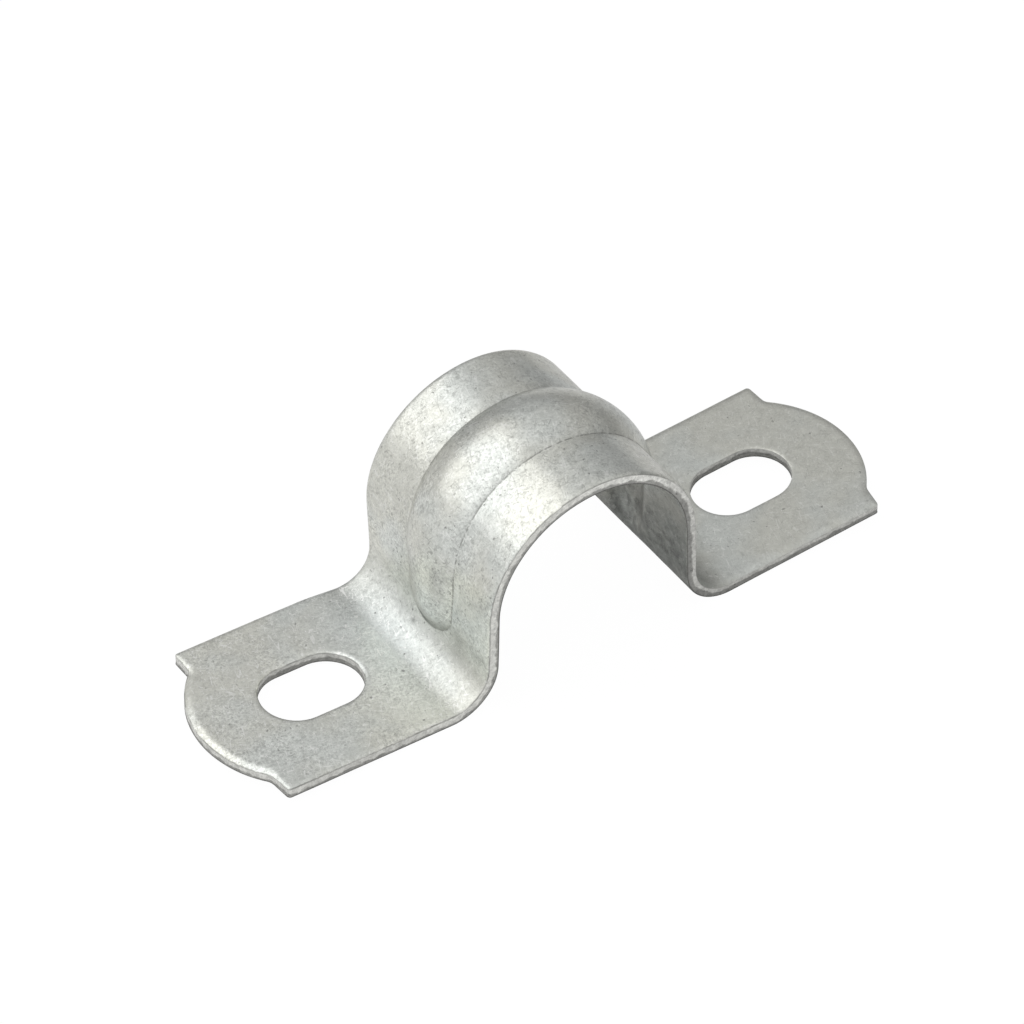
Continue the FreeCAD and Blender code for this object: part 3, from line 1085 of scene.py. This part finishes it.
def buildFloor():
    size = studio.tableHalf
    mesh = bpy.data.meshes.new("floor")
    corners = [(x * size, y * size, 0) for x, y in ((-1, -1), (1, -1), (1, 1), (-1, 1))]
    mesh.from_pydata(corners, [], [(0, 1, 2, 3)])
    floor = bpy.data.objects.new("floor", mesh)
    bpy.context.scene.collection.objects.link(floor)
    floor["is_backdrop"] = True
    paper = bpy.data.materials.new("floorPaper")
    paper.use_nodes = True
    tree = paper.node_tree
    do = nodeMath(tree)
    rays = addNode(tree, "ShaderNodeLightPath").outputs
    byCamera = rays["Is Camera Ray"]
    byMirror = do("MAXIMUM", rays["Is Glossy Ray"], rays["Is Transmission Ray"])
    shader = tree.nodes["Principled BSDF"]
    shader.inputs["Base Color"].default_value = studio.paper
    shader.inputs["Roughness"].default_value = studio.paperRoughness
    sideways = parted(tree, addNode(tree, "ShaderNodeTexCoord").outputs["Object"])["X"]
    level = ramp(tree, sideways, *studio.tableFade, *studio.tableGlow, kind="LINEAR")
    level = numberMix(tree, byCamera, level, studio.backdrop)
    glow = addNode(tree, "ShaderNodeEmission", {"Strength": level})
    share = do("MAXIMUM", do("MULTIPLY", byCamera, 1 - studio.shadow),
               do("MULTIPLY", byMirror, studio.tableShare))
    mix = addNode(tree, "ShaderNodeMixShader", {0: share, 1: shader.outputs[0], 2: glow.outputs[0]})
    tree.links.new(mix.outputs[0], tree.nodes["Material Output"].inputs["Surface"])
    mesh.materials.append(paper)


def buildRoom():
    world = bpy.data.worlds.new("studio")
    bpy.context.scene.world = world
    world.use_nodes = True
    tree = world.node_tree
    byCamera = addNode(tree, "ShaderNodeLightPath").outputs["Is Camera Ray"]
    towards = parted(tree, addNode(tree, "ShaderNodeTexCoord").outputs["Generated"])
    around = ramp(tree, towards["X"], *studio.roomSides, *studio.room, kind="LINEAR")
    room = ramp(tree, towards["Z"], *studio.roomRise, around, studio.roomTop, kind="LINEAR")
    background = tree.nodes["Background"]
    background.inputs["Color"].default_value = (1, 1, 1, 1)
    tree.links.new(numberMix(tree, byCamera, room, studio.backdrop), background.inputs["Strength"])


def buildSoftbox():
    box = studio.softbox
    lamp = bpy.data.lights.new("softbox", "AREA")
    lamp.shape = "RECTANGLE"
    lamp.size, lamp.size_y = box["size"]
    lamp.energy = box["glow"] * math.pi * lamp.size * lamp.size_y
    lampObject = bpy.data.objects.new("softbox", lamp)
    direction = Vector(box["towards"]).normalized()
    across = Vector((0, 1, 0)).cross(direction).normalized()
    facing = Matrix((across, direction.cross(across), direction)).transposed().to_4x4()
    lampObject.matrix_world = Matrix.Translation(direction * box["away"]) @ facing
    bpy.context.scene.collection.objects.link(lampObject)


buildFloor()
buildRoom()
buildSoftbox()
print("studio: white table, room and softbox")

# the camera looks at the origin from this far, in millimetres and degrees, then moves aside and up
cameraPlan = SimpleNamespace(
    azimuth=-33.888465, elevation=43.362897, roll=-0.332139,
    distance=433.594, aside=-1.620019, above=7.076332,
    focal=175.78125, sensor=36,
)


def buildCamera():
    data = bpy.data.cameras.new("camera")
    data.lens = cameraPlan.focal
    data.sensor_width = cameraPlan.sensor
    camera = bpy.data.objects.new("camera", data)
    bpy.context.scene.collection.objects.link(camera)
    bpy.context.scene.camera = camera
    azimuth, elevation = math.radians(cameraPlan.azimuth), math.radians(cameraPlan.elevation)
    backward = Vector((math.sin(azimuth) * math.cos(elevation), -math.cos(azimuth) * math.cos(elevation),
                       math.sin(elevation)))
    right = Vector((math.cos(azimuth), math.sin(azimuth), 0))
    right = Matrix.Rotation(math.radians(cameraPlan.roll), 3, backward) @ right
    up = backward.cross(right)
    place = (backward * cameraPlan.distance + right * cameraPlan.aside + up * cameraPlan.above) * mm
    camera.matrix_world = Matrix.Translation(place) @ Matrix((right, up, backward)).transposed().to_4x4()


buildCamera()
bpy.context.scene.view_settings.view_transform = "Standard"
print("camera:", cameraPlan.distance, "mm away")

[[list(corner) for corner in box] for box in (cadBox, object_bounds())]
